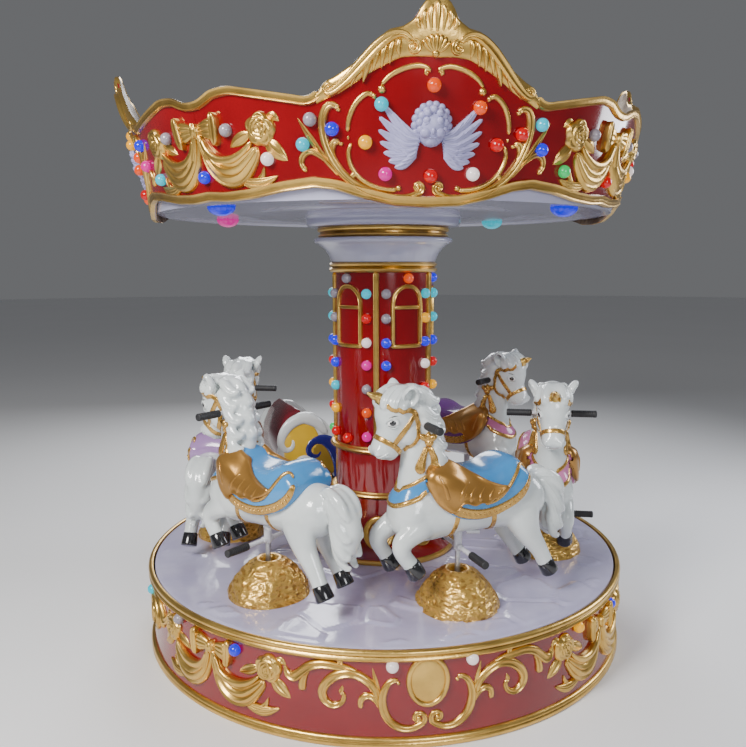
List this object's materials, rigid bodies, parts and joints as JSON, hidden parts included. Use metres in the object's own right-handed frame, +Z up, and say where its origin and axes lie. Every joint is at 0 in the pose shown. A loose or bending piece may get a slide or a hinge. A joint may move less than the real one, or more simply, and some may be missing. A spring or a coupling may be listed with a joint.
{
  "type": "small fairground carousel",
  "caption": "Small round fairground carousel with rising unicorn horses and a chariot on a turning deck round a lit column, under a crested red and gold canopy.",
  "frame": {"origin": "turning axis at ground level", "axes": "+Z up along the turning axis; -Y to the canopy's main crest; +X to the right seen from there"},
  "size_m": [2.3674, 2.3674, 2.504],
  "materials": {
    "red_gelcoat": "deep red glossy fibreglass gelcoat",
    "gold_paint": "semi-gloss metallic gold paint on moulded fibreglass",
    "white_gelcoat": "glossy white fibreglass",
    "deck_gelcoat": "lilac-white fibreglass floor with a raised paving pattern",
    "ceiling_gelcoat": "lilac-white glossy fibreglass ceiling",
    "gold_rock": "coarse textured gold painted rock",
    "steel": "plain and painted steel",
    "black_rubber": "black rubber grips",
    "hoof_black": "black paint",
    "saddle_blue": "sky blue gloss paint with gold trim",
    "saddle_pink": "pink gloss paint with gold trim",
    "saddle_purple": "purple gloss paint with gold trim",
    "saddle_brown": "brown gloss paint with gold trim",
    "chariot_navy": "navy gloss paint with white and yellow scrolls",
    "chariot_red": "dark red gloss paint",
    "raw_fibreglass": "raw brown fibreglass on the back of the crown",
    "bulb_red": "lit round bulb",
    "bulb_orange": "lit round bulb",
    "bulb_yellow": "lit round bulb",
    "bulb_green": "lit round bulb",
    "bulb_cyan": "lit round bulb",
    "bulb_blue": "lit round bulb",
    "bulb_magenta": "lit round bulb",
    "bulb_white": "lit round bulb",
    "bulb_unlit": "round bulb, not lit, milky grey"
  },
  "bodies": {
    "base": {"base_skirt": "red_gelcoat", "base_bottom_rim": "gold_paint", "base_top_rim": "gold_paint", "base_frame": "steel"},
    "turntable": {"deck": "deck_gelcoat", "rock_mound_1": "gold_rock", "rock_mound_2": "gold_rock", "rock_mound_3": "gold_rock", "rock_mound_4": "gold_rock", "rock_mound_5": "gold_rock", "column_foot_ring": "gold_paint", "column_pedestal": "red_gelcoat", "column_low_ring": "gold_paint", "column_drum": "red_gelcoat", "column_high_ring": "gold_paint", "column_shaft": "red_gelcoat", "column_neck_ring": "gold_paint", "column_capital": "white_gelcoat", "capital_band": "gold_paint", "ceiling": "ceiling_gelcoat", "fascia_panel_1": "red_gelcoat", "fascia_panel_2": "red_gelcoat", "fascia_panel_3": "red_gelcoat", "fascia_panel_4": "red_gelcoat", "crest_1": "gold_paint", "crest_2": "gold_paint", "crest_3": "gold_paint", "crest_4": "gold_paint", "chariot_floor": "chariot_red", "chariot_seat": "chariot_red", "chariot_back": "chariot_red", "chariot_dash": "chariot_red", "chariot_side_inner": "chariot_navy", "chariot_side_outer": "chariot_navy"},
    "horse_1": {"horse_1_body": "white_gelcoat", "horse_1_saddle": "saddle_blue", "horse_1_post": "steel", "horse_1_handle": "black_rubber"},
    "horse_2": {"horse_2_body": "white_gelcoat", "horse_2_saddle": "saddle_pink", "horse_2_post": "steel", "horse_2_handle": "black_rubber"},
    "horse_3": {"horse_3_body": "white_gelcoat", "horse_3_saddle": "saddle_purple", "horse_3_post": "steel", "horse_3_handle": "black_rubber"},
    "horse_4": {"horse_4_body": "white_gelcoat", "horse_4_saddle": "saddle_brown", "horse_4_post": "steel", "horse_4_handle": "black_rubber"},
    "horse_5": {"horse_5_body": "white_gelcoat", "horse_5_saddle": "saddle_blue", "horse_5_post": "steel", "horse_5_handle": "black_rubber"}
  },
  "joints": [
    {"name": "turntable_turn", "type": "hinge", "parent": "base", "child": "turntable", "pos_m": [0, 0, 0.34], "axis": [0, 0, 1], "continuous": true},
    {"name": "horse_1_rise", "type": "slide", "parent": "turntable", "child": "horse_1", "axis": [0, 0, 1], "range_m": [-0.07, 0]},
    {"name": "horse_2_rise", "type": "slide", "parent": "turntable", "child": "horse_2", "axis": [0, 0, 1], "range_m": [-0.005, 0.065]},
    {"name": "horse_3_rise", "type": "slide", "parent": "turntable", "child": "horse_3", "axis": [0, 0, 1], "range_m": [-0.045, 0.025]},
    {"name": "horse_4_rise", "type": "slide", "parent": "turntable", "child": "horse_4", "axis": [0, 0, 1], "range_m": [-0.03, 0.04]},
    {"name": "horse_5_rise", "type": "slide", "parent": "turntable", "child": "horse_5", "axis": [0, 0, 1], "range_m": [-0.06, 0.01]}
  ]
}
